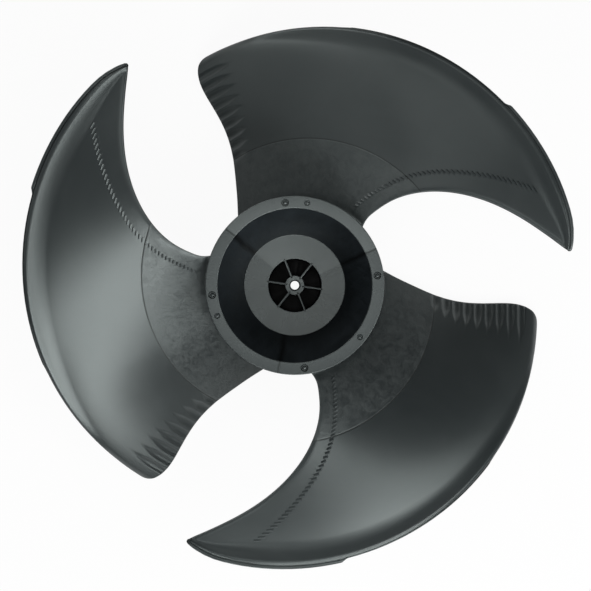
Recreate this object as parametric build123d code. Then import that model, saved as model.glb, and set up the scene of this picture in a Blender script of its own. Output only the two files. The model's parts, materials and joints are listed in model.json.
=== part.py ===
"""Axial fan impeller of an outdoor condensing unit: hub and three blades moulded in one piece.

Frame: Z is the spin axis and +Z is the motor side, where the air comes in. The origin is
on the axis, in the plane of the drum's far end, on which the fan stands.
Lengths are in millimetres and angles in degrees, anticlockwise as seen from +Z.
"""
from build123d import *
import math
import os

import numpy as np

# ---- Drum, rim and cup of the hub ----
HUB_RADIUS = 75.2              # outside of the drum that carries the blades
HUB_HEIGHT = 108.0             # far end to the rim on the motor side
WALL = 3.0                     # drum and cup wall
RIM_WIDTH = 10.4               # flat rim between drum and cup
RIM_THICK = 3.4
CUP_DEPTH = 60.0               # rim down to the cup's floor
CUP_FLOOR_RADIUS = 45.0
FLOOR_THICK = 4.0

# ---- Shaft boss and the well round it ----
WELL_RADIUS = 23.5
WELL_WALL = 3.0
WELL_BASE_THICK = 4.0          # disc that closes the well, level with the drum's far end
BOSS_RADIUS = 8.5
BORE_RADIUS = 4.0
BORE_CHAMFER = 1.0
RIB_COUNT = 6                  # ribs from the boss to the well wall
RIB_THICK = 1.9
RIB_ANGLE = 51.8
FAR_RIB_COUNT = 9              # ribs from the cup to the drum, open to the far end
FAR_RIB_THICK = 2.2
FAR_RIB_SETBACK = 6.0

# ---- Pits in the rim ----
PIT_CIRCLE_RADIUS = 69.8
DEEP_PIT_COUNT = 4
DEEP_PIT_RADIUS = 3.0
DEEP_PIT_DEPTH = 1.6
DEEP_PIT_ANGLE = 6.7
SHALLOW_PIT_COUNT = 3
SHALLOW_PIT_RADIUS = 2.2
SHALLOW_PIT_DEPTH = 0.6
SHALLOW_PIT_ANGLE = 81.5

# ---- Blade outline: (share of the span from the drum to the crest, angle) ----
BLADE_COUNT = 3
CREST_RADIUS = 226.2           # inner side of the lip round the blade's outer edge
LEADING_EDGE = [
    (0.00, 40.6), (0.03, 42.1), (0.10, 42.6), (0.20, 41.2), (0.335, 37.1),
    (0.50, 29.95), (0.66, 21.95), (0.83, 13.3), (0.925, 9.0), (1.00, 6.4),
]
TRAILING_EDGE = [
    (0.00, 133.5), (0.10, 125.9), (0.21, 120.5), (0.36, 116.1), (0.54, 114.3),
    (0.73, 114.9), (0.87, 115.15), (0.95, 114.2), (1.00, 112.9),
]
LEADING_TIP_ROUND = 3.0
LEADING_TIP_EASED_BY = 15.0    # angle up to which the lip draws in towards the leading tip
LEADING_TIP_DRAW_IN = 0.08     # how far it draws in, for each square degree
TRAILING_TIP_ROUND = 6.0

# ---- Blade section ----
LEADING_HEIGHT_ROOT = 105.0    # leading edge above the far end, at the drum
LEADING_HEIGHT_TIP = 148.0
TRAILING_HEIGHT = 7.0          # trailing edge above the far end
CAMBER_ROOT = -0.10            # share of the fall that grows with the square of the way
CAMBER_TIP = 0.83
OUTWARD_POWER = 1.8            # height and camber change faster near the drum than near the tip
THICK_ROOT = 3.8               # measured along Z
THICK_TIP = 2.6

# ---- Turned-up outer edge and its lip ----
WINGLET_RISE = 5.5
WINGLET_SLOPE = 0.40           # rise for each millimetre of radius
WINGLET_LAND = 4.6             # band along the crest that follows the blade again
WINGLET_FULL_FROM = 0.16       # shares of the chord between which it stands at its full height
WINGLET_FULL_TO = 0.50
WINGLET_ENDS = 0.92            # share of the chord where it has run out
LIP_DROP = 1.2                 # the lip lies this much below the crest
LIP_STEPS = [(3.8, 40.5), (1.4, 78.2)]   # width of the lip and the angle where it ends

# ---- Flutes that run out through the trailing edge ----
FLUTE_COUNT = 9
FLUTE_PITCH = 10.0
FLUTE_FIRST_RADIUS = 130.0
FLUTE_DEPTH = 1.2
FLUTE_WIDTH = 5.0              # at the trailing edge
FLUTE_LENGTH_INNER = 16.0
FLUTE_LENGTH_OUTER = 36.0

# ---- Worked out from the sizes above ----
BLADE_PITCH = 360 / BLADE_COUNT
SPAN = CREST_RADIUS - HUB_RADIUS
LIP_RADIUS = CREST_RADIUS + LIP_STEPS[0][0]
ROOT_RADIUS = HUB_RADIUS - 0.6 * WALL          # blades are rooted inside the drum wall
FLOOR_HEIGHT = HUB_HEIGHT - CUP_DEPTH
CUP_MOUTH_RADIUS = HUB_RADIUS - RIM_WIDTH
TALL = 2 * LEADING_HEIGHT_TIP                  # reaches above everything
MARGIN = 4.0                                   # how far surfaces run past the outline
ROW_STEP = 14.0                                # radius between the rows that a surface is fitted to
COLUMN_STEP = 9.0                              # angle between its columns
FIT = 0.03                                     # how near the surface runs to its formula


# ---- Curves and formulas of the blade ----
def smooth_curve(points):
    """The natural cubic curve through (position, value) points, as a function of position."""
    x = [p[0] for p in points]
    y = [p[1] for p in points]
    step = np.diff(x)
    matrix = np.eye(len(x))
    right = np.zeros(len(x))
    for i in range(1, len(x) - 1):
        matrix[i, i - 1:i + 2] = step[i - 1], 2 * (step[i - 1] + step[i]), step[i]
        right[i] = 6 * ((y[i + 1] - y[i]) / step[i] - (y[i] - y[i - 1]) / step[i - 1])
    bend = np.linalg.solve(matrix, right)

    def value(at):
        i = int(np.clip(np.searchsorted(x, at) - 1, 0, len(step) - 1))
        a = (x[i + 1] - at) / step[i]
        b = (at - x[i]) / step[i]
        curve = ((a**3 - a) * bend[i] + (b**3 - b) * bend[i + 1]) * step[i] ** 2 / 6
        return float(a * y[i] + b * y[i + 1] + curve)

    return value


leading_angle = smooth_curve(LEADING_EDGE)
trailing_angle = smooth_curve(TRAILING_EDGE)


def polar(radius, angle, height=0.0):
    turn = math.radians(angle)
    return Vector(radius * math.cos(turn), radius * math.sin(turn), height)


def span_share(radius):
    return (radius - HUB_RADIUS) / SPAN


def outward(span):
    """How far a section has changed from the one at the drum (0) to the one at the crest (1)."""
    return 1 - max(1 - span, 0.0) ** OUTWARD_POWER


def chord_share(radius, angle):
    """How far an angle lies from the leading edge (0) to the trailing edge (1)."""
    start = leading_angle(span_share(radius))
    return (angle - start) / (trailing_angle(span_share(radius)) - start)


def winglet_foot(share):
    """Radius of the crease at the foot of the turned-up edge. It runs out to the crest at both ends."""
    full = CREST_RADIUS - WINGLET_LAND - WINGLET_RISE / WINGLET_SLOPE
    before = max(WINGLET_FULL_FROM - share, 0.0) / WINGLET_FULL_FROM
    after = max(share - WINGLET_FULL_TO, 0.0) / (WINGLET_ENDS - WINGLET_FULL_TO)
    return full + (CREST_RADIUS - full) * (0.8 * before**2 + after**2)


def top_height(radius, angle):
    """Height of the blade's surface on the motor side, without the turned-up edge."""
    change = outward(span_share(radius))
    share = chord_share(radius, angle)
    edge = LEADING_HEIGHT_ROOT + (LEADING_HEIGHT_TIP - LEADING_HEIGHT_ROOT) * change
    camber = CAMBER_ROOT + (CAMBER_TIP - CAMBER_ROOT) * change
    fall = (1 - camber) * share + camber * share**2
    return edge - (edge - TRAILING_HEIGHT) * fall


def winglet_height(radius, angle):
    """Height of the sloping side of the turned-up edge. It meets the blade's surface at the foot."""
    rise = WINGLET_SLOPE * (radius - winglet_foot(chord_share(radius, angle)))
    return top_height(radius, angle) + rise


def land_height(radius, angle):
    """Height of the band along the crest."""
    return top_height(radius, angle) + WINGLET_RISE


def thickness(radius):
    """Thickness of the blade along Z."""
    return THICK_ROOT + (THICK_TIP - THICK_ROOT) * span_share(radius)


# ---- Blade ----
def grid(low, high, step):
    """Evenly spaced values from low, about a step apart and without high."""
    count = max(round((high - low) / step), 1)
    return [low + (high - low) * i / count for i in range(count)]


def space_above(height, inner_radius, margin):
    """Everything above a height formula, from a radius out to past the blade's edges."""
    outside = LIP_RADIUS + margin
    radii = grid(inner_radius - margin, outside, ROW_STEP) + [outside]
    first = min(angle for _, angle in LEADING_EDGE) - margin
    last = max(angle for _, angle in TRAILING_EDGE) + margin
    angles = grid(first, last, COLUMN_STEP) + [last]
    rows = [[polar(r, a, height(r, a)) for a in angles] for r in radii]
    face = Face.make_surface_from_array_of_points(rows, tol=FIT, min_deg=3, max_deg=3)
    return Solid.extrude(face, Vector(0, 0, TALL))


def under(height):
    """The formula of the far side, which lies a blade's thickness below the motor side."""
    return lambda radius, angle: height(radius, angle) - thickness(radius)


def edge_curve(angle_at, from_radius, to_radius):
    """A leading or trailing edge in plan, between two radii."""
    shares = np.linspace(span_share(from_radius), span_share(to_radius), 13)
    return Spline(*[polar(HUB_RADIUS + s * SPAN, angle_at(s)) for s in shares])


def arc(radius, start, end):
    """An arc about the spin axis, between two angles."""
    return ThreePointArc(
        polar(radius, start), polar(radius, (start + end) / 2), polar(radius, end)
    )


def lip_outside(angle):
    """Outer radius of the lip at its full width, drawn in towards the leading tip."""
    return LIP_RADIUS - LEADING_TIP_DRAW_IN * max(LEADING_TIP_EASED_BY - angle, 0.0) ** 2


def leading_tip():
    """Radius and angle at which the leading edge meets the outside of the lip."""
    radius = LIP_RADIUS
    for _ in range(20):
        angle = leading_angle(span_share(radius))
        radius = lip_outside(angle)
    return radius, angle


def blade_outline():
    """The blade's outline in plan, with the steps of its lip."""
    tip_radius, tip_angle = leading_tip()
    steps = [(CREST_RADIUS + width, end) for width, end in LIP_STEPS]
    steps.append((CREST_RADIUS, trailing_angle(1.0)))
    edges = [
        edge_curve(leading_angle, ROOT_RADIUS, tip_radius),
        edge_curve(trailing_angle, ROOT_RADIUS, CREST_RADIUS),
        arc(
            ROOT_RADIUS,
            leading_angle(span_share(ROOT_RADIUS)),
            trailing_angle(span_share(ROOT_RADIUS)),
        ),
        Spline(*[polar(lip_outside(a), a) for a in np.linspace(tip_angle, LEADING_TIP_EASED_BY, 6)]),
    ]
    start = LEADING_TIP_EASED_BY
    for (radius, end), following in zip(steps, steps[1:] + [None]):
        edges.append(arc(radius, start, end))
        if following:
            edges.append(Line(polar(radius, end), polar(following[0], end)))
        start = end
    face = make_face(Wire(edges))
    tips = [
        (polar(tip_radius, tip_angle), LEADING_TIP_ROUND),
        (polar(CREST_RADIUS, trailing_angle(1.0)), TRAILING_TIP_ROUND),
    ]
    for tip, radius in tips:
        corner = min(face.vertices(), key=lambda v: (Vector(v) - tip).length)
        face = fillet(corner, radius)
    return face


def flute(number):
    """The cutter of one flute: a V that opens and sinks into the surface towards the trailing edge."""
    radius = FLUTE_FIRST_RADIUS + number * FLUTE_PITCH
    growth = number / (FLUTE_COUNT - 1)
    length = FLUTE_LENGTH_INNER + (FLUTE_LENGTH_OUTER - FLUTE_LENGTH_INNER) * growth
    edge = trailing_angle(span_share(radius))
    start_angle = edge - math.degrees(length / radius)
    end_angle = edge + math.degrees(MARGIN / radius)
    start = polar(radius, start_angle, top_height(radius, start_angle))
    end = polar(radius, end_angle, top_height(radius, end_angle))
    side = polar(FLUTE_WIDTH / 2, edge)
    up = Vector(0, 0, FLUTE_DEPTH)
    mouth = make_face(Polyline(end - up, end + 2 * side + up, end - 2 * side + up, close=True))
    return loft([mouth, Vertex(start)])


def turned_up(side, inner_radius, full_space):
    """The space above the outer part of a blade's side, with its turned-up edge and crest."""
    slope = space_above(side(winglet_height), inner_radius, 1.5 * MARGIN)
    land = space_above(side(land_height), inner_radius, 2 * MARGIN)
    return full_space & (slope + land)


def blade():
    """One blade, rooted inside the drum wall."""
    split = winglet_foot(WINGLET_FULL_TO) - 3 * MARGIN     # inside the turned-up edge
    core = Cylinder(split, 2 * TALL)
    plan = extrude(blade_outline(), TALL)
    above_top = space_above(top_height, ROOT_RADIUS, MARGIN)
    above_bottom = space_above(under(top_height), ROOT_RADIUS, MARGIN)
    edge_top = turned_up(lambda height: height, split, above_top)
    edge_bottom = turned_up(under, split, above_bottom)
    lip_space = Cylinder(LIP_RADIUS + MARGIN, 2 * TALL) - Cylinder(CREST_RADIUS, 2 * TALL)
    inner = (plan & core & above_bottom) - above_top
    edge = ((plan - core) & edge_bottom) - edge_top
    edge -= lip_space & (Pos(0, 0, -LIP_DROP) * edge_top)
    return (inner + edge) - [flute(number) for number in range(FLUTE_COUNT)]


# ---- Hub ----
def hub_section():
    """Half section of the hub: drum, rim, cup, floor, well, boss and bore."""
    cup_slope = (CUP_MOUTH_RADIUS - CUP_FLOOR_RADIUS) / CUP_DEPTH
    cup_wall = WALL * math.hypot(1, cup_slope)      # measured along the radius

    def cup_outside(height):
        return CUP_FLOOR_RADIUS + (height - FLOOR_HEIGHT) * cup_slope + cup_wall

    well_outside = WELL_RADIUS + WELL_WALL
    under_rim = HUB_HEIGHT - RIM_THICK
    under_floor = FLOOR_HEIGHT - FLOOR_THICK
    return make_face(Polyline(
        (HUB_RADIUS, 0, 0),
        (HUB_RADIUS, 0, HUB_HEIGHT),
        (CUP_MOUTH_RADIUS, 0, HUB_HEIGHT),
        (CUP_FLOOR_RADIUS, 0, FLOOR_HEIGHT),
        (WELL_RADIUS, 0, FLOOR_HEIGHT),
        (WELL_RADIUS, 0, WELL_BASE_THICK),
        (BOSS_RADIUS, 0, WELL_BASE_THICK),
        (BOSS_RADIUS, 0, FLOOR_HEIGHT),
        (BORE_RADIUS + BORE_CHAMFER, 0, FLOOR_HEIGHT),
        (BORE_RADIUS, 0, FLOOR_HEIGHT - BORE_CHAMFER),
        (BORE_RADIUS, 0, 0),
        (well_outside, 0, 0),
        (well_outside, 0, under_floor),
        (cup_outside(under_floor), 0, under_floor),
        (cup_outside(under_rim), 0, under_rim),
        (HUB_RADIUS - WALL, 0, under_rim),
        (HUB_RADIUS - WALL, 0, 0),
        close=True,
    ))


def spoke(section, thick, angle):
    """A flat rib of the given section in the XZ plane, turned to its angle."""
    return Rot(0, 0, angle) * extrude(section, thick / 2, dir=(0, 1, 0), both=True)


def well_ribs():
    """Ribs between boss and well wall, level with the cup's floor."""
    low = WELL_BASE_THICK / 2
    inner = (BOSS_RADIUS + BORE_RADIUS + BORE_CHAMFER) / 2
    outer = WELL_RADIUS + WELL_WALL / 2
    section = make_face(Polyline(
        (inner, 0, low), (outer, 0, low), (outer, 0, FLOOR_HEIGHT), (inner, 0, FLOOR_HEIGHT), close=True
    ))
    return [spoke(section, RIB_THICK, RIB_ANGLE + n * 360 / RIB_COUNT) for n in range(RIB_COUNT)]


def far_ribs():
    """Ribs between the cup and the drum, seen from the far end."""
    half = WALL / 2
    inner = WELL_RADIUS + half
    outer = HUB_RADIUS - half
    section = make_face(Polyline(
        (inner, 0, FAR_RIB_SETBACK),
        (outer, 0, FAR_RIB_SETBACK),
        (outer, 0, HUB_HEIGHT - RIM_THICK / 2),
        (CUP_MOUTH_RADIUS + half, 0, HUB_HEIGHT - RIM_THICK / 2),
        (CUP_FLOOR_RADIUS + half, 0, FLOOR_HEIGHT - FLOOR_THICK / 2),
        (inner, 0, FLOOR_HEIGHT - FLOOR_THICK / 2),
        close=True,
    ))
    return [spoke(section, FAR_RIB_THICK, n * 360 / FAR_RIB_COUNT) for n in range(FAR_RIB_COUNT)]


def pits(count, radius, depth, angle):
    """Round pits sunk into the rim."""
    return [
        Pos(*polar(PIT_CIRCLE_RADIUS, angle + n * 360 / count, HUB_HEIGHT)) * Cylinder(radius, 2 * depth)
        for n in range(count)
    ]


def hub():
    body = revolve(hub_section(), Axis.Z)
    body += well_ribs()
    body += far_ribs()
    body -= pits(DEEP_PIT_COUNT, DEEP_PIT_RADIUS, DEEP_PIT_DEPTH, DEEP_PIT_ANGLE)
    body -= pits(SHALLOW_PIT_COUNT, SHALLOW_PIT_RADIUS, SHALLOW_PIT_DEPTH, SHALLOW_PIT_ANGLE)
    return body


def impeller():
    one = blade()
    return hub() + [Rot(0, 0, n * BLADE_PITCH) * one for n in range(BLADE_COUNT)]


os.makedirs("parts", exist_ok=True)
export_step(impeller(), "parts/impeller.step")
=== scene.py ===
"""Axial fan impeller: the hub, its ribs and three blades of one dark moulding, on a studio stage."""

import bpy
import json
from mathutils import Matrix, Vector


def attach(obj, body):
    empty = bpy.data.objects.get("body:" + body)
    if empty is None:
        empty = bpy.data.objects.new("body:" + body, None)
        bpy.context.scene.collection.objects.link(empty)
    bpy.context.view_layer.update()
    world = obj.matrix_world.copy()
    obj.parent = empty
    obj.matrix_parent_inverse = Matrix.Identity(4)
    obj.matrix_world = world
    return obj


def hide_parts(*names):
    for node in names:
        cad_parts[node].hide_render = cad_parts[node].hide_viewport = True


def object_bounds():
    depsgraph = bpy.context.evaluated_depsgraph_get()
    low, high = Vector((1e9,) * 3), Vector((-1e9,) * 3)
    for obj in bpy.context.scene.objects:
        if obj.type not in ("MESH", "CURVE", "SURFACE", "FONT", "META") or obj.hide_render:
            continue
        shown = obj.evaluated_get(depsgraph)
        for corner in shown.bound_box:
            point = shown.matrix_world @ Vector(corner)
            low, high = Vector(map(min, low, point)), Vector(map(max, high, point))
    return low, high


bl_info = {
    "name": "Axial fan impeller",
    "version": (1, 0, 0),
    "blender": (4, 5, 0),
    "location": "3D View > Sidebar > Impeller",
    "description": "Models a moulded axial fan impeller, its plastic and a plain studio stage",
    "category": "Add Mesh",
}

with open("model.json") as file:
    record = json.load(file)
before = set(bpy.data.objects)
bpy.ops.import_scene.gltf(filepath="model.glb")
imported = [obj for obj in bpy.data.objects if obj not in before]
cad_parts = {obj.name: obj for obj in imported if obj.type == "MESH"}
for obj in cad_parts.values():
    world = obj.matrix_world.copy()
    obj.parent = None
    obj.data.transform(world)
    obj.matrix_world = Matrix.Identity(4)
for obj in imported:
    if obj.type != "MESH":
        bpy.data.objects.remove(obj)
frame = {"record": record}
cad_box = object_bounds()

import json
import math

import bmesh
import bpy
import numpy as np
from bpy.props import FloatProperty, FloatVectorProperty, IntProperty, PointerProperty
from mathutils import Matrix, Vector

MOULDING = "impeller"
BORE = next(mount for mount in frame["record"]["mounts"] if mount["name"] == "shaft_bore")

# ---- Blade outline: (share of the span from the drum to the crest, angle in degrees) ----
LEADING_EDGE = [
    (0.00, 40.6), (0.03, 42.1), (0.10, 42.6), (0.20, 41.2), (0.335, 37.1),
    (0.50, 29.95), (0.66, 21.95), (0.83, 13.3), (0.925, 9.25), (1.00, 7.25),
]
TRAILING_EDGE = [
    (0.00, 133.5), (0.10, 125.9), (0.21, 120.5), (0.36, 116.1), (0.54, 114.3),
    (0.73, 114.9), (0.87, 115.15), (0.95, 114.2), (1.00, 112.9),
]
LIP_STEPS = [(0.0038, 40.5), (0.0014, 78.2), (0.0002, 180.0)]    # width, angle where it ends

# ---- Net of the blade: distances from an edge in metres, shares of the way between the two ----
NEAR_LEADING = [0, 0.0012, 0.0022, 0.0034, 0.0050, 0.0080]
NEAR_TRAILING = [0.0060, 0.0042, 0.0026, 0.0012, 0]
LIP_STEP_COLUMNS = [0.3050, 0.3090, 0.3145, 0.3165, 0.6710, 0.6750, 0.6790, 0.6830]
INSIDE_FROM, INSIDE_ROWS, TURNED_ROWS = 0.190, 44, 18

# ---- Row of small ridges ----
RIDGE_ROW = [(0.0848, 52.4), (0.1330, 43.0), (0.1690, 32.7), (0.2085, 21.7)]    # radius, angle
RIDGE_LENGTHS = (0.0022, 0.0058)    # of the first and the last
RIDGE_LEAN = 9    # degrees
RIDGE_HALF_WIDTH, RIDGE_TOP_OFF, RIDGE_SUNK = 0.0015, 0.0002, 0.0003

# ---- Hub. A pit's steps are shares of its radius and its depth ----
KNIT_LINES = (24, 141, 259)    # angles
PITS = ((4, 0.0033, 0.0022, 6.7), (3, 0.0026, 0.0013, 81.5))    # count, radius, depth, first angle
PIT_STEPS = [(1.0, 0.0), (0.72, -1.0), (0.58, -1.0), (0.46, -0.62), (0.30, -0.42), (0.12, -0.34)]
PIT_CIRCLE = 0.0698
WELL_RIB_ANGLE, FAR_RIB_ANGLE, FAR_RIB_FOOT = 51.8, 0.0, 0.006
RIB_ROUND, CHAMFER_ROUND = 0.22, 0.4    # shares of the rib's thickness and of the edge round
FACE_EDGE = 0.0003    # a face nearer to an edge than this is part of its rounding
CLOSE = 1e-5    # points nearer than this are one
HUB_SMOOTH, BLADE_SMOOTH = 30, 38    # degrees up to which faces are shaded as one surface

# ---- Plastic ----
PLASTIC_IOR = 1.5
COOL_SHEEN = (0.90, 1.0, 0.98, 1.0)
KNIT_TONE, SEAM_TONE = (0.004, 0.005, 0.005), (0.004, 0.004, 0.004)
KNIT_WIDTH, CUP_KNIT_WIDTH = 0.0014, 0.0040
KNIT_DULL, SEAM_DULL = 0.16, 0.3    # roughness that a line adds
HUB_GLOSS, THIRD_GLOSS = 0.06, 0.02    # roughness that the hub and its third lose
CUP_ROUGHNESS, CUP_STREAKS = (0.40, 0.55), 1.8
MOTTLE_RELIEF = 1.6    # height of the mottling, against the grain

# ---- Stage. Lamps: name, direction and height in degrees, size, share of the power ----
KEY_LAMPS = (
    ("key_low", -63, 34, (1.4, 0.25), 0.36),
    ("key_high", -57, 51, (2.0, 0.25), 0.20),
    ("key_left", -97, 46, (1.0, 0.3), 0.24),
    ("key_right", -12, 50, (0.9, 0.35), 0.20),
)
FILL_LAMPS = (
    ("fill", 124, 22, (0.8, 0.4), 0.55),
    ("fill_high", 105, 55, (1.2, 0.5), 0.23),
    ("fill_left", 170, 30, (1.2, 0.8), 0.22),
)
TOP_LAMPS = (("top", 0, 90, (0.66, 0.34), 1.0),)
KEY_DISTANCE, FILL_DISTANCE, TOP_DISTANCE = 1.3, 1.4, 1.7
WHITE_SEEN = 0.94    # how white the floor looks to the camera
CAMERA_SHIFT = (0.00118, -0.01726)


def length(name, description, default):
    """A length in metres that a user can change."""
    return FloatProperty(
        name=name, description=description, default=default, min=0.0, subtype="DISTANCE", precision=4
    )


def colour(name, description, default):
    """A colour that a user can change."""
    return FloatVectorProperty(
        name=name, description=description, default=default, size=3, min=0.0, max=1.0, subtype="COLOR"
    )


def share(name, description, default):
    """A share between nothing and all."""
    return FloatProperty(
        name=name, description=description, default=default, min=0.0, max=1.0, subtype="FACTOR"
    )


class ImpellerHubSizes(bpy.types.PropertyGroup):
    """Sizes of the drum, cup, well and boss."""

    drum_radius: length("Drum radius", "Outside of the drum that carries the blades", 0.0752)
    height: length("Height", "From the far end to the rim", 0.108)
    wall: length("Wall", "Thickness of the drum and the cup", 0.003)
    rim_width: length("Rim width", "Flat rim between the drum and the cup", 0.0104)
    rim_thick: length("Rim thickness", "Thickness of the rim", 0.0034)
    cup_depth: length("Cup depth", "From the rim down to the cup's floor", 0.060)
    floor_radius: length("Floor radius", "Radius of the cup's floor", 0.045)
    floor_thick: length("Floor thickness", "Thickness of the cup's floor", 0.004)
    well_radius: length("Well radius", "Inside of the well round the boss", 0.0235)
    boss_radius: length("Boss radius", "Outside of the shaft boss", 0.0085)
    bore_radius: length("Bore radius", "Radius of the shaft bore", BORE["dims"]["r_mm"] / 1000)
    bore_chamfer: length("Bore chamfer", "Chamfer at the mouth of the bore", 0.001)
    rib_thick: length("Well rib", "Thickness of the ribs round the boss", 0.0019)
    far_rib_thick: length("Far rib", "Thickness of the ribs inside the drum", 0.0022)
    edge_round: length("Edge round", "Rounding of the moulded edges", 0.0007)
    rib_count: IntProperty(name="Well ribs", description="Ribs round the boss", default=6, min=3)
    far_rib_count: IntProperty(name="Far ribs", description="Ribs inside the drum", default=9, min=3)


class ImpellerBladeSizes(bpy.types.PropertyGroup):
    """Sizes of the blades."""

    crest_radius: length("Crest radius", "Inner side of the lip round the outer edge", 0.2262)
    leading_root: length("Leading edge at the drum", "Height of the leading edge there", 0.105)
    leading_tip: length("Leading edge at the tip", "Height of the leading edge there", 0.148)
    trailing: length("Trailing edge", "Height of the trailing edge", 0.007)
    thick_root: length("Root thickness", "Thickness at the drum, along the axis", 0.0038)
    thick_tip: length("Tip thickness", "Thickness at the tip, along the axis", 0.0026)
    winglet_rise: length("Turned-up edge", "Height of the turned-up outer edge", 0.0055)
    lip_drop: length("Lip drop", "How far the lip lies below the crest", 0.0012)
    flute_depth: length("Flute depth", "Depth of the flutes at the trailing edge", 0.0021)
    root_fillet: length("Root fillet", "Fillet between a blade and the drum", 0.0026)
    edge_round: length("Edge round", "Rounding of the blade's edges", 0.0008)
    ridge_height: length("Ridge height", "Height of the small ridges in the row", 0.0008)
    ridge_count: IntProperty(name="Ridges", description="Small ridges in the row", default=41, min=1)
    flute_count: IntProperty(name="Flutes", description="Flutes of a blade", default=9, min=1)
    count: IntProperty(name="Blades", description="Number of blades", default=3, min=1)


class ImpellerFinish(bpy.types.PropertyGroup):
    """Colours and sheen of the moulded plastic, with the painted shade of the cup's wall and the well."""

    tone: colour("Plastic", "Colour of the plastic", (0.019, 0.0235, 0.025))
    pale: colour("Flow marks", "Colour where the flow marks are palest", (0.060, 0.069, 0.069))
    # Painted shade: the cup's wall gets a darker tone than the plastic, for the shade that lies in the cup.
    cup_shade_tone: colour("Cup wall", "Colour of the cup's wall, which lies in shade", (0.010, 0.013, 0.015))
    # Painted shade: a near-black colour for deep in the well, below the cup's floor. The knit lines on the
    # cup's wall take it too.
    well_shade_and_knit_tone: colour("Well", "Colour deep in the well", (0.0015, 0.0018, 0.002))
    sheen: share("Roughness", "Roughness of the smooth skin", 0.32)
    dull: share("Dull roughness", "Roughness where the skin is dull", 0.52)


class ImpellerStage(bpy.types.PropertyGroup):
    """Floor, light and camera."""

    floor_tone: colour("Floor", "Colour of the floor", (0.86, 0.86, 0.86))
    key_power: FloatProperty(name="Key", description="Power of the key light", default=18.8, unit="POWER")
    fill_power: FloatProperty(name="Fill", description="Power of the fill", default=6.6, unit="POWER")
    top_power: FloatProperty(name="Top", description="Power of the top panel", default=1.6, unit="POWER")
    room_light: share("Room light", "Strength of the light from all round", 0.02)
    camera_height: length("Camera height", "Height of the camera above the floor", 1.098)
    lens: FloatProperty(
        name="Lens", description="Focal length of the camera", default=71.94, unit="CAMERA"
    )


# ---- Modelling helpers ----
def only(piece):
    """Makes a piece the one selected and active object."""
    bpy.ops.object.select_all(action="DESELECT")
    piece.select_set(True)
    bpy.context.view_layer.objects.active = piece


def started(name):
    """Names the object that was just added."""
    piece = bpy.context.object
    piece.name = piece.data.name = name
    return piece


def edit(piece, kind="VERT"):
    """Opens a piece in edit mode, to pick points, edges or faces."""
    only(piece)
    bpy.ops.object.mode_set(mode="EDIT")
    bpy.ops.mesh.select_mode(type=kind)


def done_editing():
    """Turns the faces outwards and leaves edit mode."""
    bpy.ops.mesh.select_all(action="SELECT")
    bpy.ops.mesh.normals_make_consistent(inside=False)
    bpy.ops.object.mode_set(mode="OBJECT")


def pick_edges(piece, test):
    """Selects the edges that pass a test, in edit mode."""
    bpy.ops.mesh.select_all(action="DESELECT")
    net = bmesh.from_edit_mesh(piece.data)
    for edge in net.edges:
        if test(edge):
            edge.select_set(True)
    bmesh.update_edit_mesh(piece.data)


def apply_modifier(piece, kind, **settings):
    """Adds a modifier with these settings and applies it."""
    modifier = piece.modifiers.new(kind.title(), kind)
    for name, value in settings.items():
        setattr(modifier, name, value)
    only(piece)
    bpy.ops.object.modifier_apply(modifier=modifier.name)


def joined(pieces, name):
    """Joins pieces into the first of them."""
    only(pieces[0])
    for piece in pieces:
        piece.select_set(True)
    bpy.ops.object.join()
    return started(name)


def combine(piece, others, operation):
    """Cuts the other solids out of a piece, or unites them with it."""
    other = joined(others, "others")
    apply_modifier(piece, "BOOLEAN", operation=operation, solver="EXACT", object=other)
    bpy.data.objects.remove(other)


def drawn_out(rings):
    """Draws a selected circle out in edit mode, from ring to ring of radius and height."""
    for (radius, height), (wider, higher) in zip(rings, rings[1:]):
        bpy.ops.mesh.extrude_region_move(TRANSFORM_OT_translate={"value": (0, 0, higher - height)})
        size = wider / radius
        bpy.ops.transform.resize(value=(size, size, 1), center_override=(0, 0, 0))


def copy_turned(piece, name, angle):
    """A copy with a mesh of its own, turned about the spin axis."""
    other = piece.copy()
    other.data = piece.data.copy()
    other.name = other.data.name = name
    other.data.transform(Matrix.Rotation(math.radians(angle), 4, "Z"))
    bpy.context.scene.collection.objects.link(other)
    return other


def finish_piece(piece, material, smooth_angle, shade=None):
    """Shades a piece, gives it its plastic and puts it on the moulding's body.

    Faces that pass the shade test get the plastic with the painted shade of the cup's wall and the well.
    """
    if not len(piece.data.polygons):
        raise RuntimeError(f"{piece.name} has no faces")
    only(piece)
    bpy.ops.object.transform_apply(location=True, rotation=True, scale=True)
    bpy.ops.object.shade_smooth_by_angle(angle=math.radians(smooth_angle))
    piece.data.materials.clear()
    piece.data.materials.append(material)
    if shade:
        # The cup's wall, the well and the bore get a plastic with painted shade.
        piece.data.materials.append(plastic("Painted shade plastic"))
        for face in piece.data.polygons:
            face.material_index = int(shade(face.center.xy.length, face.center.z))
    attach(piece, "root")
    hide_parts(MOULDING)


# ---- Curves and formulas of the blade ----
def smooth_curve(points):
    """The natural cubic curve through (position, value) points, as a function of position."""
    x = [p[0] for p in points]
    y = [p[1] for p in points]
    step = np.diff(x)
    matrix = np.eye(len(x))
    right = np.zeros(len(x))
    for i in range(1, len(x) - 1):
        matrix[i, i - 1:i + 2] = step[i - 1], 2 * (step[i - 1] + step[i]), step[i]
        right[i] = 6 * ((y[i + 1] - y[i]) / step[i] - (y[i] - y[i - 1]) / step[i - 1])
    bend = np.linalg.solve(matrix, right)

    def value(at):
        i = int(np.clip(np.searchsorted(x, at) - 1, 0, len(step) - 1))
        a = (x[i + 1] - at) / step[i]
        b = (at - x[i]) / step[i]
        curve = ((a**3 - a) * bend[i] + (b**3 - b) * bend[i + 1]) * step[i] ** 2 / 6
        return float(a * y[i] + b * y[i + 1] + curve)

    return value


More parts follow.
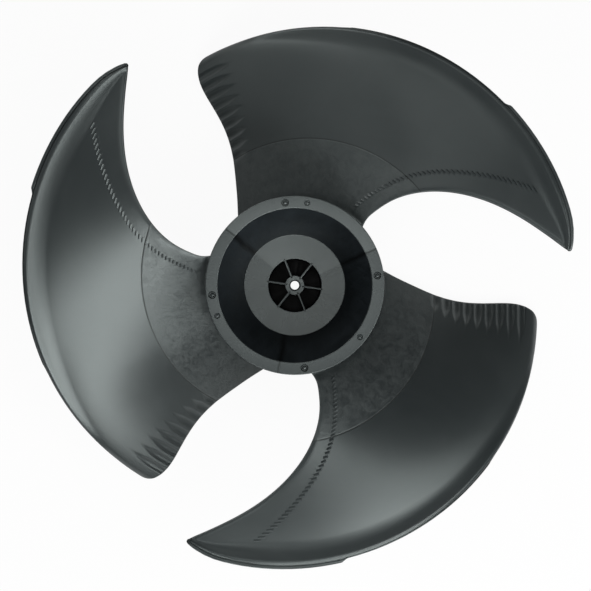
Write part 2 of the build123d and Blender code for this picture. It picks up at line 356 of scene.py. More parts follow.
def ease(value):
    """0 below 0, 1 above 1, and a smooth S between."""
    value = min(max(value, 0.0), 1.0)
    return value * value * (3 - 2 * value)


def between(value, start, end):
    """A smooth S from 0 at the start to 1 at the end."""
    return ease((value - start) / (end - start))


def polar(radius, angle, height=0.0):
    """The point at a radius, an angle in degrees and a height."""
    turn = math.radians(angle)
    return Vector((radius * math.cos(turn), radius * math.sin(turn), height))


class BladeShape:
    """The surfaces of one blade, worked out from its sizes."""

    # Turned-up edge: whole between two shares of the chord, and gone at a third one
    WINGLET_SLOPE, WINGLET_LAND = 0.34, 0.0030
    FULL_FROM, FULL_TO, RUNS_OUT = 0.16, 0.50, 0.92
    NARROWS = 0.8    # how much narrower it is at the leading edge, as a share
    TURNED_LEAST = 0.006    # width that its rows keep where it has run out
    ROLL = 2.0    # how suddenly it rises

    CAMBER_ROOT, CAMBER_TIP = -0.10, 0.83
    OUTWARD_POWER = 1.8    # how early height and camber change from root to tip

    FIRST_FLUTE, FLUTE_PITCH = 0.130, 0.010
    FLUTE_SHORT, FLUTE_LONG = 0.016, 0.036
    FLUTE_NARROW, FLUTE_WIDENS = 0.0006, 0.0032    # half the width at its start, and what it gains
    FLUTE_OPENS = 1.7    # how soon it is open all the way
    FLUTE_BEHIND = 0.7    # share of its depth that shows on the far side

    SEAM_RADIUS, SEAM_DEPTH, SEAM_HALF_WIDTH = 0.1290, 0.0002, 0.0005
    SEAM_FROM, SEAM_TO, SEAM_END = 38, 111, 2    # degrees

    TIP_ROUND_LEADING, TIP_ROUND_TRAILING = 0.0035, 0.006
    TIP_PULL, TIP_PULLED_FROM = 0.00008, 15    # metres a square degree, degrees
    TIP_PULLED_RADII = (0.205, 0.230)
    NOSE_DROP, NOSE_WIDTH, NOSE_BEHIND = 0.0012, 0.005, 0.5    # leading edge, share on the far side

    LIP_STEP_LENGTH = 1.6    # degrees
    LIP_FADES = (0.0003, 0.0013)    # widths where the lip is gone and whole
    LIP_SLOPE, LIP_SLOPE_BEHIND = (-0.0004, 0.0003), 0.0006    # distances past the crest, width
    GROOVE_DEPTH, GROOVE_WIDTH = 0.0007, 0.0010
    GROOVE_SIDE, GROOVE_FAR_SIDE = (-0.0002, 0.0002), 0.0005

    def __init__(self, sizes, hub):
        self.sizes = sizes
        self.drum = hub.drum_radius
        self.span = sizes.crest_radius - self.drum
        self.turned_width = self.WINGLET_LAND + sizes.winglet_rise / self.WINGLET_SLOPE
        self.leading = smooth_curve(LEADING_EDGE)
        self.trailing = smooth_curve(TRAILING_EDGE)

    def span_share(self, radius):
        """Share of the way from the drum to the crest."""
        return (radius - self.drum) / self.span

    def edges(self, radius):
        """Angles of the leading and trailing edge at a radius, with the tips' corners rounded."""
        at = self.span_share(radius)
        reach = self.sizes.crest_radius
        angles = []
        for curve, corner, outer, sign in (
            (self.leading, self.TIP_ROUND_LEADING, reach + LIP_STEPS[0][0], 1),
            (self.trailing, self.TIP_ROUND_TRAILING, reach, -1),
        ):
            into = min(max(radius - (outer - corner), 0.0), corner)
            shift = corner - math.sqrt(corner**2 - into**2)
            angles.append(curve(at) + sign * math.degrees(shift / radius))
        return angles

    def foot(self, share):
        """Radius of the crease at the foot of the turned-up edge."""
        before = max(self.FULL_FROM - share, 0.0) / self.FULL_FROM
        after = max(share - self.FULL_TO, 0.0) / (self.RUNS_OUT - self.FULL_TO)
        narrower = self.NARROWS * before**2 + after**2
        return self.sizes.crest_radius - self.turned_width * (1 - narrower)

    def base(self, radius, share):
        """Height of the blade on the motor side, without its turned-up edge."""
        s = self.sizes
        change = 1 - max(1 - self.span_share(radius), 0.0) ** self.OUTWARD_POWER
        edge = s.leading_root + (s.leading_tip - s.leading_root) * change
        camber = self.CAMBER_ROOT + (self.CAMBER_TIP - self.CAMBER_ROOT) * change
        fall = (1 - camber) * share + camber * share**2
        return edge - (edge - s.trailing) * fall

    def winglet(self, radius, share):
        """How far the turned-up edge stands above the blade."""
        foot = self.foot(share)
        wide = max(self.sizes.crest_radius - foot, 1e-6)
        size = wide / self.turned_width
        roll = wide - self.WINGLET_LAND * size
        way = min(max((radius - foot) / roll, 0.0), 1.0)
        return self.sizes.winglet_rise * min(size, 1.0) * way**self.ROLL

    def thickness(self, radius):
        """Thickness of the blade along the spin axis."""
        s = self.sizes
        return s.thick_root + (s.thick_tip - s.thick_root) * self.span_share(radius)

    def fillet(self, radius):
        """How far the fillet at the root stands above and below the blade."""
        size = self.sizes.root_fillet
        out = min(max(radius - self.drum, 0.0), size)
        return size - math.sqrt(size**2 - (size - out) ** 2)

    def flutes(self, radius, to_trailing):
        """Depth of the flutes at a radius and a distance from the trailing edge."""
        count = self.sizes.flute_count
        number = round((radius - self.FIRST_FLUTE) / self.FLUTE_PITCH)
        number = min(max(number, 0), count - 1)
        off = abs(radius - self.FIRST_FLUTE - number * self.FLUTE_PITCH)
        growth = number / max(count - 1, 1)
        reach = self.FLUTE_SHORT + (self.FLUTE_LONG - self.FLUTE_SHORT) * growth
        along = ease(self.FLUTE_OPENS * (1 - to_trailing / reach))
        half = self.FLUTE_NARROW + self.FLUTE_WIDENS * along
        return self.sizes.flute_depth * along * max(1 - (off / half) ** 2, 0.0)

    def seam(self, radius, angle):
        """Depth of the witness line that the mould's insert leaves."""
        ends = between(angle, self.SEAM_FROM, self.SEAM_FROM + self.SEAM_END)
        ends *= between(angle, self.SEAM_TO, self.SEAM_TO - self.SEAM_END)
        off = abs(radius - self.SEAM_RADIUS)
        return self.SEAM_DEPTH * ends * max(1 - off / self.SEAM_HALF_WIDTH, 0.0)

    def lip_width(self, angle):
        """Width of the lip, which narrows in steps."""
        width = LIP_STEPS[0][0]
        half = self.LIP_STEP_LENGTH / 2
        for (wide, end), (narrow, _) in zip(LIP_STEPS, LIP_STEPS[1:]):
            width += (narrow - wide) * between(angle, end - half, end + half)
        return width

    def lip_drop(self, past_crest, width):
        """How far the surface lies below the crest, past it: a narrow groove and then the lip."""
        groove_end = self.GROOVE_WIDTH * width / LIP_STEPS[0][0]
        groove = self.GROOVE_DEPTH * between(past_crest, *self.GROOVE_SIDE) * (
            1 - between(past_crest, groove_end, groove_end + self.GROOVE_FAR_SIDE))
        drop = self.sizes.lip_drop * between(past_crest, *self.LIP_SLOPE)
        return between(width, *self.LIP_FADES) * (drop + groove)

    def chord(self, radius, column):
        """Length of the chord at a radius, and a column's share of it and angle there."""
        first, last = self.edges(radius)
        chord = radius * math.radians(last - first)
        near, way, far = column
        kept = NEAR_LEADING[-1] + NEAR_TRAILING[0]
        share = near / chord + way * (1 - kept / chord) + far / chord
        return chord, share, first + (last - first) * share

    def row_radius(self, row, column):
        """Radius where a row of the net crosses a column."""
        kind, where = row
        if kind == "radius":
            return where
        crest = self.sizes.crest_radius
        _, share, angle = self.chord(crest, column)
        foot = min(self.foot(share), crest - self.TURNED_LEAST)
        if kind == "inside":
            return INSIDE_FROM + (foot - INSIDE_FROM) * where
        if kind == "turned":
            return foot + (crest - foot) * where
        return crest + self.lip_width(angle) * where

    def place(self, row, column, lower):
        """Where a vertex of the blade's net goes."""
        sizes = self.sizes
        crest = sizes.crest_radius
        radius = self.row_radius(row, column)
        chord, share, angle = self.chord(radius, column)
        height = self.base(radius, share) + self.winglet(min(radius, crest), share)
        fillet, width = self.fillet(radius), self.lip_width(angle)
        nose = self.NOSE_DROP * max(1 - share * chord / self.NOSE_WIDTH, 0.0) ** 2
        flute = self.flutes(radius, (1 - share) * chord)
        if lower:
            height -= self.thickness(radius) + fillet
            height -= self.FLUTE_BEHIND * flute - self.NOSE_BEHIND * nose
            height -= sizes.lip_drop * between(width, *self.LIP_FADES) * between(
                radius, crest - self.LIP_SLOPE_BEHIND, crest)
        else:
            height += fillet - flute - nose - self.seam(radius, angle)
            height -= self.lip_drop(radius - crest, width)
        pulled_in = self.TIP_PULL * max(self.TIP_PULLED_FROM - angle, 0.0) ** 2
        radius -= pulled_in * between(radius, *self.TIP_PULLED_RADII)
        return polar(radius, angle, height)


def blade_net(shape):
    """Rows of the blade's net from root to lip, and columns from leading to trailing edge.

    A row is a radius, or a share of the way to the foot of the turned-up edge, up that edge or
    across the lip. A column is a distance from the leading edge, a share of the way between the
    edges and a distance towards the trailing edge.
    """
    root, seam = shape.drum, shape.SEAM_RADIUS
    radii = [root + out for out in (-0.0018, 0, 0.00012, 0.0004, 0.0008, 0.0013, 0.002, 0.0028)]
    radii += [*np.arange(root + 0.0048, seam - 0.0070, 0.0025)]
    radii += [*np.arange(seam - 0.0065, seam - 0.0010, 0.00125)]
    radii += [seam - 0.0005, seam, seam + 0.0005]
    radii += [*np.arange(shape.FIRST_FLUTE, INSIDE_FROM, 0.0006)]
    rows = [("radius", radius) for radius in radii]
    rows += [("inside", k / INSIDE_ROWS) for k in range(INSIDE_ROWS)]
    rows += [("turned", k / TURNED_ROWS) for k in range(TURNED_ROWS - 1)]
    rows += [("turned", k) for k in (0.96, 0.98, 1.0)]
    rows += [("lip", k) for k in (0.03, 0.08, 0.16, 0.26, 0.36, 0.46, 0.62, 0.80, 1.0)]
    ways = sorted([*np.arange(0.02, 0.78, 0.02), *np.arange(0.78, 0.995, 0.008), *LIP_STEP_COLUMNS])
    columns = [(near, 0.0, 0.0) for near in NEAR_LEADING]
    columns += [(NEAR_LEADING[-1], way, 0.0) for way in ways]
    columns += [(NEAR_LEADING[-1], 1.0, NEAR_TRAILING[0] - near) for near in NEAR_TRAILING]
    return rows, columns


def ridges(shape):
    """Three-sided prisms of the row of small ridges across the leading part of a blade."""
    sizes = shape.sizes
    angle_at = smooth_curve(RIDGE_ROW)
    inner, outer = RIDGE_ROW[0][0], RIDGE_ROW[-1][0]
    short, long = RIDGE_LENGTHS
    foot = RIDGE_HALF_WIDTH    # a corner of the section is a distance across and one up
    section = [(RIDGE_TOP_OFF, sizes.ridge_height), (-foot, -RIDGE_SUNK), (foot, -RIDGE_SUNK)]
    prisms = []
    for number in range(sizes.ridge_count):
        way = number / max(sizes.ridge_count - 1, 1)
        radius = inner + (outer - inner) * way
        angle = angle_at(radius)
        half = (short + (long - short) * way) / 2
        along = polar(1, angle + 90 + RIDGE_LEAN)
        bpy.ops.mesh.primitive_cylinder_add(vertices=3)
        prism = bpy.context.object
        for vertex in prism.data.vertices:
            corner = round((math.degrees(math.atan2(vertex.co.x, vertex.co.y)) % 360) / 120) % 3
            side, level = section[corner]
            spot = polar(radius, angle) + along * half * (1 if vertex.co.z > 0 else -1)
            spot += polar(side, angle + RIDGE_LEAN)
            first, last = shape.edges(spot.length)
            share = (math.degrees(math.atan2(spot.y, spot.x)) - first) / (last - first)
            vertex.co = Vector((spot.x, spot.y, shape.base(spot.length, share) + level))
        edit(prism)
        done_editing()
        prisms.append(prism)
    return prisms


# ---- Node helpers and shared effects ----
def feed(tree, sockets, values):
    """Links each socket to another one, or sets it to a number or a colour."""
    for socket, value in zip(sockets, values):
        if isinstance(value, bpy.types.NodeSocket):
            tree.links.new(value, socket)
        else:
            socket.default_value = value


def add_node(tree, kind, **settings):
    """Adds a node. Each setting is one of its properties or feeds one of its inputs."""
    node = tree.nodes.new(kind)
    for name, value in settings.items():
        if name in node.inputs:
            feed(tree, [node.inputs[name]], [value])
        else:
            setattr(node, name, value)
    return node


def math_node(tree, operation, *values, clamp=False):
    """The result of a Math node."""
    node = add_node(tree, "ShaderNodeMath", operation=operation, use_clamp=clamp)
    feed(tree, node.inputs, values)
    return node.outputs[0]


def ramp_node(tree, value, low, high, to_low=0.0, to_high=1.0):
    """A smooth step of a value from one range to another."""
    node = add_node(tree, "ShaderNodeMapRange", interpolation_type="SMOOTHSTEP")
    feed(tree, node.inputs, (value, low, high, to_low, to_high))
    return node.outputs["Result"]


def mix_colour(tree, factor, low, high):
    """A colour that goes from low to high as the factor goes from 0 to 1."""
    low, high = (c if isinstance(c, bpy.types.NodeSocket) else (*c, 1.0) for c in (low, high))
    node = add_node(tree, "ShaderNodeMix", data_type="RGBA", Factor=factor, A=low, B=high)
    return node.outputs["Result"]


def split(tree, vector):
    """The X, Y and Z of a vector."""
    return add_node(tree, "ShaderNodeSeparateXYZ", Vector=vector).outputs


def arrange(tree):
    """Lays a tree out in columns, each node left of those that it feeds."""
    steps, filled = {}, {}

    def step(node):
        if node.name not in steps:
            fed = [link.to_node for socket in node.outputs for link in socket.links]
            steps[node.name] = 1 + max(map(step, fed), default=-1)
        return steps[node.name]

    for node in tree.nodes:
        column = step(node)
        filled[column] = filled.get(column, 0) + 1
        node.location = (-240 * column, -220 * filled[column])


def new_group(name, inputs, outputs):
    """An empty shader group that takes a position and named numbers."""
    tree = bpy.data.node_groups.new(name, "ShaderNodeTree")
    tree.interface.new_socket("Position", in_out="INPUT", socket_type="NodeSocketVector")
    for label, value in inputs.items():
        socket = tree.interface.new_socket(label, in_out="INPUT", socket_type="NodeSocketFloat")
        socket.default_value = value
    for label in outputs:
        tree.interface.new_socket(label, in_out="OUTPUT", socket_type="NodeSocketFloat")
    return tree, add_node(tree, "NodeGroupInput").outputs, add_node(tree, "NodeGroupOutput").inputs


def place_group(tree, name, position, **values):
    """Places a shared group at a position, with its own values."""
    group = bpy.data.node_groups[name]
    return add_node(tree, "ShaderNodeGroup", node_tree=group, Position=position, **values).outputs


def polar_group():
    """Radius and angle about the spin axis."""
    tree, given, result = new_group("Round the axis", {}, ("Radius", "Angle"))
    x, y, _ = split(tree, given["Position"])
    square = math_node(tree, "ADD", math_node(tree, "MULTIPLY", x, x), math_node(tree, "MULTIPLY", y, y))
    feed(tree, result, (math_node(tree, "SQRT", square), math_node(tree, "ARCTAN2", y, x)))
    arrange(tree)


def flow_group():
    """Cloudy streaks that the melt leaves as it runs outwards from the hub."""
    tree, given, result = new_group(
        "Flow marks", {"Size": 60.0, "Stretch": 0.05, "Contrast": 0.5}, ("Marks",))
    around = place_group(tree, "Round the axis", given["Position"])
    spot = add_node(tree, "ShaderNodeCombineXYZ", X=around["Radius"],
                    Y=math_node(tree, "MULTIPLY", around["Angle"], given["Stretch"]),
                    Z=split(tree, given["Position"])["Z"])
    clouds = add_node(tree, "ShaderNodeTexNoise", Vector=spot.outputs[0], Scale=given["Size"],
                      Detail=5.0, Roughness=0.6, Distortion=0.8)
    low = math_node(tree, "SUBTRACT", 0.5, given["Contrast"])
    above = math_node(tree, "SUBTRACT", clouds.outputs[0], low)
    wide = math_node(tree, "MULTIPLY", given["Contrast"], 2.0)
    feed(tree, result, [math_node(tree, "DIVIDE", above, wide, clamp=True)])
    arrange(tree)


def grain_group():
    """Fine grain of the moulded skin, as a height."""
    tree, given, result = new_group("Moulded grain", {"Grain": 900.0}, ("Height",))
    fine = add_node(tree, "ShaderNodeTexNoise", Vector=given["Position"], Scale=given["Grain"],
                    Detail=3.0, Roughness=0.55)
    feed(tree, result, [fine.outputs[0]])
    arrange(tree)


def knit_group():
    """A radial line where two fronts of the melt met, as a mask."""
    tree, given, result = new_group(
        "Knit line", {"Direction": 0.0, "Width": 0.0015, "Sway": 0.004}, ("Line",))
    turned = add_node(tree, "ShaderNodeVectorRotate", rotation_type="Z_AXIS", Vector=given["Position"],
                      Angle=math_node(tree, "MULTIPLY", given["Direction"], -1.0))
    along, across, _ = split(tree, turned.outputs[0])
    wander = add_node(tree, "ShaderNodeTexNoise", Vector=given["Position"], Scale=30.0, Detail=2.0)
    sway = math_node(tree, "SUBTRACT", wander.outputs[0], 0.5)
    sway = math_node(tree, "MULTIPLY", sway, given["Sway"])
    off = math_node(tree, "ABSOLUTE", math_node(tree, "ADD", across, sway))
    near = math_node(tree, "SUBTRACT", 1.0, math_node(tree, "DIVIDE", off, given["Width"]), clamp=True)
    ahead = math_node(tree, "GREATER_THAN", along, 0.0)
    feed(tree, result, [math_node(tree, "MULTIPLY", near, ahead)])
    arrange(tree)


def knit_lines(tree, position, width):
    """A mask of the three knit lines of the hub."""
    line, *others = (place_group(tree, "Knit line", position, Direction=math.radians(angle), Width=width)[0]
                     for angle in KNIT_LINES)
    for other in others:
        line = math_node(tree, "MAXIMUM", line, other)
    return line


def new_plastic(name, specular):
    """An empty plastic: its tree, its shader's inputs and the position on the piece."""
    material = bpy.data.materials.new(name)
    material.use_nodes = True
    tree = material.node_tree
    shader = tree.nodes["Principled BSDF"].inputs
    shader["IOR"].default_value = PLASTIC_IOR
    shader["Specular IOR Level"].default_value = specular
    return tree, shader, add_node(tree, "ShaderNodeTexCoord").outputs["Object"]


def painted_shade_plastic(name):
    """Plastic with painted shade for the cup's wall and the well: a darker tone with knit lines, and painted
    near-black shade below the cup's floor.
    """
    hub, finish = bpy.context.scene.impeller_hub, bpy.context.scene.impeller_finish
    tree, shader, position = new_plastic(name, specular=0.2)
    streaks = place_group(tree, "Flow marks", position, Size=40.0, Stretch=0.15, Contrast=0.2)[0]
    # Painted shade: the cup's wall gets a darker tone, with lighter flow streaks.
    pale = [CUP_STREAKS * c for c in finish.cup_shade_tone]
    tone = mix_colour(tree, streaks, finish.cup_shade_tone, pale)
    floor = hub.height - hub.cup_depth
    # Painted shade: near-black below the cup's floor, where little light reaches. The knit lines on the wall
    # take the same colour.
    deep = ramp_node(tree, split(tree, position)["Z"], floor - 0.0015, floor, 1.0, 0.0)
    lines = math_node(tree, "MAXIMUM", deep, knit_lines(tree, position, CUP_KNIT_WIDTH))
    tree.links.new(mix_colour(tree, lines, tone, finish.well_shade_and_knit_tone), shader["Base Color"])
    tree.links.new(ramp_node(tree, streaks, 0.0, 1.0, *CUP_ROUGHNESS), shader["Roughness"])
    arrange(tree)


def with_knit_lines(tree, position, around, tone, rough):
    """The hub's tone and roughness: dark knit lines off the floor and a lighter third between two."""
    floor = bpy.context.scene.impeller_hub.floor_radius
    start, end = (math.radians(line) for line in KNIT_LINES[:2])
    fade = math.radians(2)
    third = math_node(tree, "MULTIPLY", ramp_node(tree, around["Angle"], start - fade, start + fade),
                      ramp_node(tree, around["Angle"], end - fade, end + fade, 1.0, 0.0))
    line = math_node(tree, "MULTIPLY", knit_lines(tree, position, KNIT_WIDTH),
                     ramp_node(tree, around["Radius"], floor + 0.0005, floor + 0.0030))
    tone = mix_colour(tree, third, tone, bpy.context.scene.impeller_finish.pale)
    tone = mix_colour(tree, line, tone, KNIT_TONE)
    gloss = math_node(tree, "MULTIPLY_ADD", third, THIRD_GLOSS, HUB_GLOSS)
    rough = math_node(tree, "SUBTRACT", rough, gloss)
    dull = math_node(tree, "MULTIPLY", line, KNIT_DULL)
    return tone, math_node(tree, "ADD", rough, dull, clamp=True)


def with_seam(tree, radius, seam_radius, tone, rough):
    """The blade's tone and roughness with a dark line in the seam."""
    off = math_node(tree, "ABSOLUTE", math_node(tree, "SUBTRACT", radius, seam_radius))
    line = ramp_node(tree, off, 0.0002, 0.0006, 1.0, 0.0)
    dull = math_node(tree, "MULTIPLY", line, SEAM_DULL)
    return mix_colour(tree, line, tone, SEAM_TONE), math_node(tree, "ADD", rough, dull, clamp=True)


def moulded_plastic(name, seam_radius=0.0):
    """Dark satin plastic with a fine grain, mottled inside the seam. The hub's has knit lines."""
    finish = bpy.context.scene.impeller_finish
    tree, shader, position = new_plastic(name, specular=0.9)
    shader["Specular Tint"].default_value = COOL_SHEEN
    around = place_group(tree, "Round the axis", position)
    inside = ramp_node(tree, around["Radius"], seam_radius - 0.0006, seam_radius + 0.0006, 1.0, 0.0)
    streaks = place_group(tree, "Flow marks", position, Size=150.0, Stretch=0.10, Contrast=0.16)[0]
    clouds = place_group(tree, "Flow marks", position, Size=16.0, Stretch=0.08, Contrast=0.3)[0]
    mottle = math_node(tree, "MULTIPLY", streaks, inside)

    def blend(of_mottle, of_clouds):
        return math_node(tree, "ADD", math_node(tree, "MULTIPLY", mottle, of_mottle),
                         math_node(tree, "MULTIPLY", clouds, of_clouds), clamp=True)

    tone = mix_colour(tree, blend(0.45, 0.35), finish.tone, finish.pale)
    rough = ramp_node(tree, blend(0.6, 0.3), 0.0, 1.0, finish.sheen, finish.dull)
    if seam_radius:
        tone, rough = with_seam(tree, around["Radius"], seam_radius, tone, rough)
    else:
        tone, rough = with_knit_lines(tree, position, around, tone, rough)
    grain = place_group(tree, "Moulded grain", position, Grain=1100.0)[0]
    relief = math_node(tree, "ADD", grain, math_node(tree, "MULTIPLY", mottle, MOTTLE_RELIEF))
    bump = add_node(tree, "ShaderNodeBump", Strength=0.35, Distance=0.00012, Height=relief)
    for label, value in (("Base Color", tone), ("Roughness", rough), ("Normal", bump.outputs[0])):
        tree.links.new(value, shader[label])
    arrange(tree)


def plastic(name):
    """One of the plastics. The first call makes them all, with the groups that they share."""
    if name not in bpy.data.materials:
        for build in (polar_group, flow_group, grain_group, knit_group):
            build()
        moulded_plastic("Blade plastic", BladeShape.SEAM_RADIUS)
        moulded_plastic("Hub plastic")
        painted_shade_plastic("Painted shade plastic")
    return bpy.data.materials[name]


def in_shade(sizes):
    """A test, by radius and height, for the faces on the cup's wall, in the well and in the bore, which get
    the painted shade.
    """
    floor = sizes.height - sizes.cup_depth
    mouth = sizes.drum_radius - sizes.rim_width

    def test(radius, height):
        if height > floor - FACE_EDGE:
            return floor + FACE_EDGE < height < sizes.height - FACE_EDGE and radius < mouth
        return radius < sizes.well_radius + FACE_EDGE and height > FACE_EDGE

    return test


# ---- Operators ----
class IMPELLER_OT_hub(bpy.types.Operator):
    """Drum, rim, cup, floor, well, boss and bore, drawn out ring by ring from one circle"""

    bl_idname = "impeller.hub"
    bl_label = "Hub"

    def pit(self, radius, depth):
        """The shape of a round pit with a low dome in its middle."""
        top = 0.0005    # stands above the rim, so that the cut is clean
        bpy.ops.object.select_all(action="DESELECT")
        bpy.ops.mesh.primitive_circle_add(vertices=32, radius=radius, fill_type="NGON", location=(0, 0, top))
        pit = started("pit")
        edit(pit)
        bpy.ops.mesh.select_all(action="SELECT")
        drawn_out([(radius, top)] + [(share * radius, drop * depth) for share, drop in PIT_STEPS])
        done_editing()
        bpy.ops.object.transform_apply(location=True, rotation=True, scale=True)
        return pit

    def execute(self, context):
        s = context.scene.impeller_hub
        floor = s.height - s.cup_depth
        mouth = s.drum_radius - s.rim_width
        slope = (mouth - s.floor_radius) / s.cup_depth
        wall = s.wall * math.hypot(1, slope)
        under_floor, under_rim = floor - s.floor_thick, s.height - s.rim_thick

        def outside(height):
            return s.floor_radius + (height - floor) * slope + wall

        rings = [
            (s.drum_radius, 0), (s.drum_radius, s.height), (mouth, s.height),
            (s.floor_radius, floor), (s.well_radius, floor), (s.well_radius, s.floor_thick),
            (s.boss_radius, s.floor_thick), (s.boss_radius, floor),
            (s.bore_radius + s.bore_chamfer, floor), (s.bore_radius, floor - s.bore_chamfer),
            (s.bore_radius, 0), (s.well_radius + s.wall, 0), (s.well_radius + s.wall, under_floor),
            (outside(under_floor), under_floor), (outside(under_rim), under_rim),
            (s.drum_radius - s.wall, under_rim), (s.drum_radius - s.wall, 0),
        ]
        bpy.ops.object.select_all(action="DESELECT")
        bpy.ops.mesh.primitive_circle_add(vertices=192, radius=s.drum_radius)
        hub = started("hub")
        edit(hub)
        bpy.ops.mesh.select_all(action="SELECT")
        drawn_out(rings + rings[:1])
        bpy.ops.mesh.select_all(action="SELECT")
        bpy.ops.mesh.remove_doubles(threshold=CLOSE)
        done_editing()

        edit(hub, "EDGE")
        for numbers, width, segments in (
            ((0, 1, 2, 4, 16), s.edge_round, 3),    # both ends of the drum, rim and well
            ((3, 6), s.edge_round, 3),    # foot of the cup's wall and of the boss
            ((7, 8), s.edge_round * CHAMFER_ROUND, 2),    # boss and the bore's chamfer
        ):
            pick_edges(hub, lambda edge: any(
                all(math.hypot(v.co.xy.length - radius, v.co.z - height) < 2 * CLOSE for v in edge.verts)
                for radius, height in (rings[number] for number in numbers)
            ))
            bpy.ops.mesh.bevel(offset=width, segments=segments, clamp_overlap=False)
        bpy.ops.object.mode_set(mode="OBJECT")

        pits = []
        for count, radius, depth, first in PITS:
            for number in range(count):
                pit = self.pit(radius, depth)
                pit.location = polar(PIT_CIRCLE, first + number * 360 / count, s.height)
                pits.append(pit)
        combine(hub, pits, "DIFFERENCE")
        finish_piece(hub, plastic("Hub plastic"), HUB_SMOOTH, in_shade(s))
        apply_modifier(hub, "WEIGHTED_NORMAL", keep_sharp=True)
        return {"FINISHED"}


class IMPELLER_OT_ribs(bpy.types.Operator):
    """Ribs from the boss to the well, and from the cup to the drum at the far end"""

    bl_idname = "impeller.ribs"
    bl_label = "Ribs"

    def execute(self, context):
        s = context.scene.impeller_hub
        floor = s.height - s.cup_depth
        half = s.wall / 2
        mouth = s.drum_radius - s.rim_width
        inner = (s.boss_radius + s.bore_radius + s.bore_chamfer) / 2
        well = [(inner, s.floor_thick / 2), (s.well_radius + half, s.floor_thick / 2),
                (s.well_radius + half, floor), (inner, floor)]
        under_rim, under_floor = s.height - s.rim_thick / 2, floor - s.floor_thick / 2
        far = [(s.well_radius + half, FAR_RIB_FOOT), (s.drum_radius - half, FAR_RIB_FOOT),
               (s.drum_radius - half, under_rim), (mouth + half, under_rim),
               (s.floor_radius + half, under_floor), (s.well_radius + half, under_floor)]
        for name, outline, thick, count, first in (
            ("well_ribs", well, s.rib_thick, s.rib_count, WELL_RIB_ANGLE),
            ("far_ribs", far, s.far_rib_thick, s.far_rib_count, FAR_RIB_ANGLE),
        ):
            bpy.ops.object.select_all(action="DESELECT")
            bpy.ops.mesh.primitive_circle_add(vertices=len(outline), radius=1, fill_type="NGON")
            rib = started(name)
            for vertex, (x, z) in zip(rib.data.vertices, outline):
                vertex.co = (x, -thick / 2, z)
            edit(rib)
            bpy.ops.mesh.select_all(action="SELECT")
            bpy.ops.mesh.extrude_region_move(TRANSFORM_OT_translate={"value": (0, thick, 0)})
            done_editing()
            edit(rib, "EDGE")
            pick_edges(rib, lambda edge: abs(edge.verts[0].co.y - edge.verts[1].co.y) < CLOSE)
            bpy.ops.mesh.bevel(offset=RIB_ROUND * thick, segments=3)
            bpy.ops.object.mode_set(mode="OBJECT")
            ribs = [rib] + [copy_turned(rib, name, n * 360 / count) for n in range(1, count)]
            rib = joined(ribs, name)
            rib.data.transform(Matrix.Rotation(math.radians(first), 4, "Z"))
            finish_piece(rib, plastic("Hub plastic"), HUB_SMOOTH, in_shade(s))
        return {"FINISHED"}


class IMPELLER_OT_blades(bpy.types.Operator):
    """Three twisted blades with a turned-up edge, flutes and a row of small ridges"""

    bl_idname = "impeller.blades"
    bl_label = "Blades"

    def execute(self, context):
        sizes = context.scene.impeller_blades
        shape = BladeShape(sizes, context.scene.impeller_hub)
        rows, columns = blade_net(shape)
        bpy.ops.object.select_all(action="DESELECT")
        bpy.ops.mesh.primitive_grid_add(
            x_subdivisions=len(columns) - 1, y_subdivisions=len(rows) - 1, size=1)
        blade = started("blade_1")
        edit(blade, "EDGE")
        bpy.ops.mesh.select_all(action="SELECT")
        bpy.ops.mesh.extrude_region_move(TRANSFORM_OT_translate={"value": (0, 0, -1)})
        pick_edges(blade, lambda edge: edge.is_manifold and edge.calc_face_angle() > 1
                   and abs(edge.verts[0].co.z - edge.verts[1].co.z) < 0.5)
        bpy.ops.mesh.mark_sharp()
        bpy.ops.object.mode_set(mode="OBJECT")
        if len(blade.data.vertices) != 2 * len(rows) * len(columns):
            raise RuntimeError("the blade's net has the wrong number of points")
        for vertex in blade.data.vertices:
            column = round((vertex.co.x + 0.5) * (len(columns) - 1))
            row = round((vertex.co.y + 0.5) * (len(rows) - 1))
            vertex.co = shape.place(rows[row], columns[column], lower=vertex.co.z < -0.5)
        edit(blade, "EDGE")
        done_editing()
        edit(blade, "EDGE")
        pick_edges(blade, lambda edge: not edge.smooth)
        bpy.ops.mesh.mark_sharp(clear=True)
        bpy.ops.mesh.bevel(offset=sizes.edge_round, segments=3, clamp_overlap=False)
        bpy.ops.object.mode_set(mode="OBJECT")
        combine(blade, ridges(shape), "UNION")
        blades = [blade] + [copy_turned(blade, f"blade_{number + 1}", number * 360 / sizes.count)
                            for number in range(1, sizes.count)]
        for piece in blades:
            finish_piece(piece, plastic("Blade plastic"), BLADE_SMOOTH)
        return {"FINISHED"}


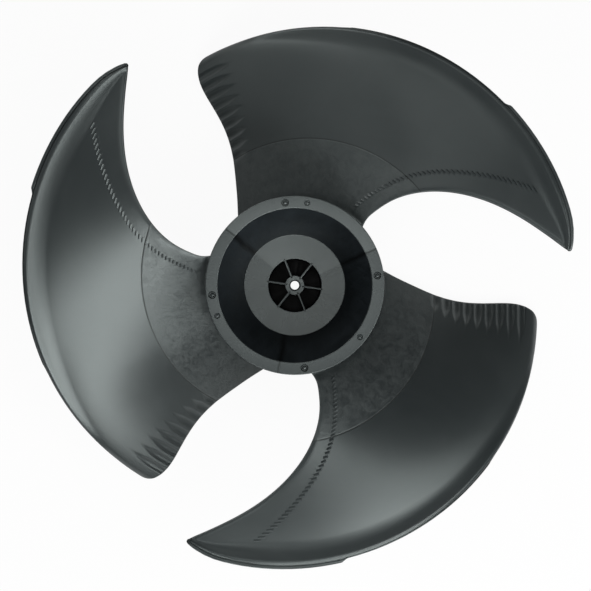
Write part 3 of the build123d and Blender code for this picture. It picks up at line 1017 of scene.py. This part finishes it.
class IMPELLER_OT_stage(bpy.types.Operator):
    """Plain pale floor, soft lights and a camera that looks down the spin axis"""

    bl_idname = "impeller.stage"
    bl_label = "Stage"

    def softboxes(self, lamps, distance, power):
        """Soft lamps at one distance that face the origin and share a power."""
        for name, direction, height, size, part in lamps:
            turn = math.radians(height)
            place = polar(distance * math.cos(turn), direction, distance * math.sin(turn))
            bpy.ops.object.light_add(type="AREA", location=place)
            lamp = started(name)
            lamp.rotation_euler = (-place).to_track_quat("-Z", "Y").to_euler()
            lamp.data.shape = "RECTANGLE"
            lamp.data.size, lamp.data.size_y = size
            lamp.data.energy = part * power

    def floor(self, tone):
        """A floor just under the hub, which looks nearly white to the camera."""
        bpy.ops.mesh.primitive_plane_add(size=8, location=(0, 0, cad_box[0].z - 0.0002))
        floor = started("floor")
        bpy.ops.object.transform_apply(location=True, rotation=True, scale=True)
        material = bpy.data.materials.new("Pale floor")
        material.use_nodes = True
        tree = material.node_tree
        shader = tree.nodes["Principled BSDF"]
        shader.inputs["Base Color"].default_value = (*tone, 1)
        shader.inputs["Roughness"].default_value = 0.9
        shader.inputs["Specular IOR Level"].default_value = 0.1
        glow = add_node(tree, "ShaderNodeEmission")
        path = add_node(tree, "ShaderNodeLightPath")
        seen = math_node(tree, "MULTIPLY", path.outputs["Is Camera Ray"], WHITE_SEEN)
        mix = add_node(tree, "ShaderNodeMixShader")
        feed(tree, mix.inputs, (seen, shader.outputs[0], glow.outputs[0]))
        tree.links.new(mix.outputs[0], tree.nodes["Material Output"].inputs["Surface"])
        arrange(tree)
        floor.data.materials.append(material)

    def room(self, strength):
        """A room that gives a weak light and looks white to the camera."""
        world = bpy.context.scene.world or bpy.data.worlds.new("Room")
        bpy.context.scene.world = world
        world.use_nodes = True
        tree = world.node_tree
        tree.nodes.clear()
        path = add_node(tree, "ShaderNodeLightPath")
        light, seen = (
            add_node(tree, "ShaderNodeBackground", Color=(1, 1, 1, 1), Strength=value).outputs[0]
            for value in (strength, 1.0))
        mix = add_node(tree, "ShaderNodeMixShader")
        feed(tree, mix.inputs, (path.outputs["Is Camera Ray"], light, seen))
        add_node(tree, "ShaderNodeOutputWorld", Surface=mix.outputs[0])
        arrange(tree)

    def execute(self, context):
        s = context.scene.impeller_stage
        self.floor(tuple(s.floor_tone))
        self.room(s.room_light)
        self.softboxes(KEY_LAMPS, KEY_DISTANCE, s.key_power)
        self.softboxes(FILL_LAMPS, FILL_DISTANCE, s.fill_power)
        self.softboxes(TOP_LAMPS, TOP_DISTANCE, s.top_power)
        bpy.ops.object.camera_add(location=(0, 0, s.camera_height), rotation=(0, 0, 0))
        camera = started("camera")
        camera.data.sensor_width = 36
        camera.data.lens = s.lens
        camera.data.shift_x, camera.data.shift_y = CAMERA_SHIFT
        camera.data.clip_end = 20
        context.scene.camera = camera
        context.scene.view_settings.view_transform = "Standard"
        return {"FINISHED"}


class IMPELLER_PT_panel(bpy.types.Panel):
    """Lists the sizes and the steps"""

    bl_idname = "IMPELLER_PT_panel"
    bl_label = "Axial fan impeller"
    bl_space_type = "VIEW_3D"
    bl_region_type = "UI"
    bl_category = "Impeller"

    def draw(self, context):
        for title, name, _, steps in PARTS:
            box = self.layout.box()
            box.label(text=title)
            values = getattr(context.scene, name)
            for label in values.bl_rna.properties.keys():
                if label not in ("rna_type", "name"):
                    box.prop(values, label)
            for step in steps:
                box.operator(step)


PARTS = (
    ("Hub", "impeller_hub", ImpellerHubSizes, ("impeller.hub", "impeller.ribs")),
    ("Blades", "impeller_blades", ImpellerBladeSizes, ("impeller.blades",)),
    ("Plastic", "impeller_finish", ImpellerFinish, ()),
    ("Stage", "impeller_stage", ImpellerStage, ("impeller.stage",)),
)
STEPS = (IMPELLER_OT_hub, IMPELLER_OT_ribs, IMPELLER_OT_blades, IMPELLER_OT_stage, IMPELLER_PT_panel)


def register():
    for _, name, group, _ in PARTS:
        bpy.utils.register_class(group)
        setattr(bpy.types.Scene, name, PointerProperty(type=group))
    for step in STEPS:
        bpy.utils.register_class(step)


def unregister():
    for step in reversed(STEPS):
        bpy.utils.unregister_class(step)
    for _, name, group, _ in PARTS:
        delattr(bpy.types.Scene, name)
        bpy.utils.unregister_class(group)


def main():
    register()
    bpy.ops.impeller.hub()
    bpy.ops.impeller.ribs()
    bpy.ops.impeller.blades()
    bpy.ops.impeller.stage()


if __name__ == "__main__":
    main()
